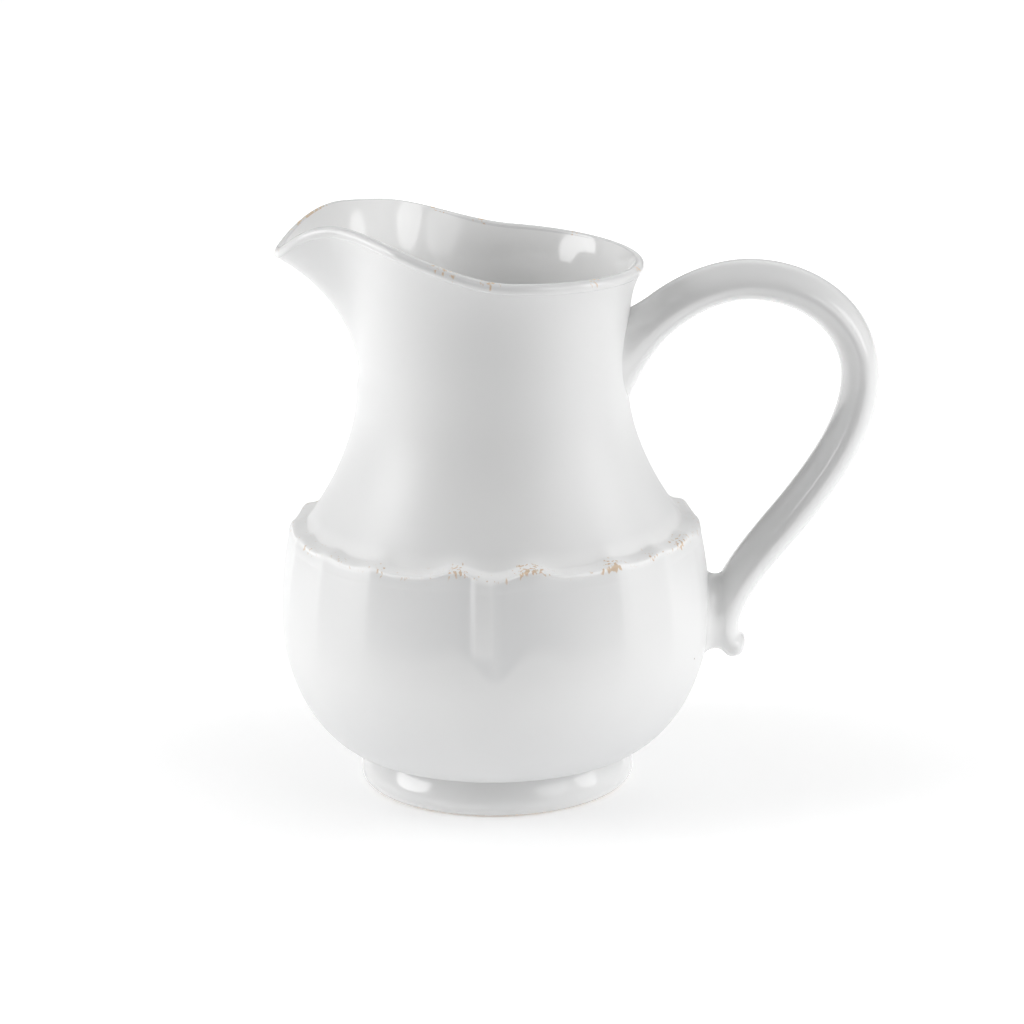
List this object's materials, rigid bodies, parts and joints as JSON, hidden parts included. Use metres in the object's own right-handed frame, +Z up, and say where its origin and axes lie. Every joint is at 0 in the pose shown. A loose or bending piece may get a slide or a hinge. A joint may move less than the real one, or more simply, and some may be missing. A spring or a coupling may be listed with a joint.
{
  "type": "ceramic pitcher",
  "caption": "Glazed stoneware pitcher with a round belly, a scalloped ledge above pressed panels, a waisted neck, a pulled spout and a loop handle.",
  "frame": {"origin": "centre of the foot, on the surface that the pitcher stands on", "axes": "+Z up along the vessel's axis, +X towards the handle, -X towards the spout, mirror plane Y = 0"},
  "size_m": [0.2157, 0.1544, 0.2095],
  "materials": {
    "glaze": "glossy opaque white glaze, worn to tan clay on raised edges",
    "foot_glaze": "glossy white glaze with a wiped, bare clay foot",
    "rim_glaze": "glossy white glaze, thin over the rolled rim",
    "handle_glaze": "glossy opaque white glaze"
  },
  "bodies": {
    "root": {"body": "glaze", "foot_ring": "foot_glaze", "rim_bead": "rim_glaze", "handle": "handle_glaze", "upper_slip_joint": "handle_glaze", "lower_slip_joint": "handle_glaze"}
  },
  "joints": []
}
